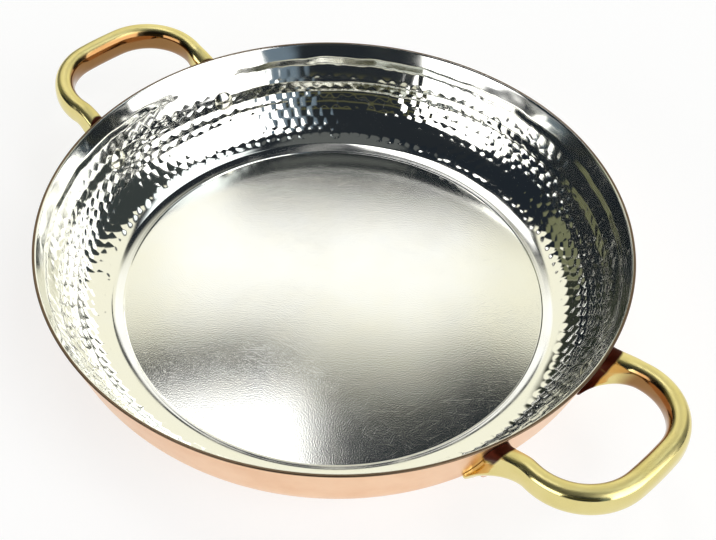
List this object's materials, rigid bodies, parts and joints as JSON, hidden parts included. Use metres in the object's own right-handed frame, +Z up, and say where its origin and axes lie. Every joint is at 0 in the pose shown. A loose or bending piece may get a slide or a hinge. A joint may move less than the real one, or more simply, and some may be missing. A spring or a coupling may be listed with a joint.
{
  "type": "frying pan",
  "caption": "Round hammered copper frying pan with a tinned inside and a cast brass loop handle riveted on each side.",
  "frame": {"origin": "middle of the flat base, on the surface that the pan stands on", "axes": "+Z up out of the pan, +X along the line through both handles, +Y across them"},
  "size_m": [0.3252, 0.2408, 0.0453],
  "materials": {
    "copper": "satin copper sheet",
    "tin": "bright hammered tin, satin on the floor",
    "brass": "polished",
    "tinned_rivet": "bright tinned head"
  },
  "bodies": {
    "root": {"copper_body": "copper", "tin_lining": "tin", "handle_right": "brass", "handle_left": "brass", "rivet_right_front": "tinned_rivet", "rivet_right_back": "tinned_rivet", "rivet_left_front": "tinned_rivet", "rivet_left_back": "tinned_rivet"}
  },
  "joints": []
}
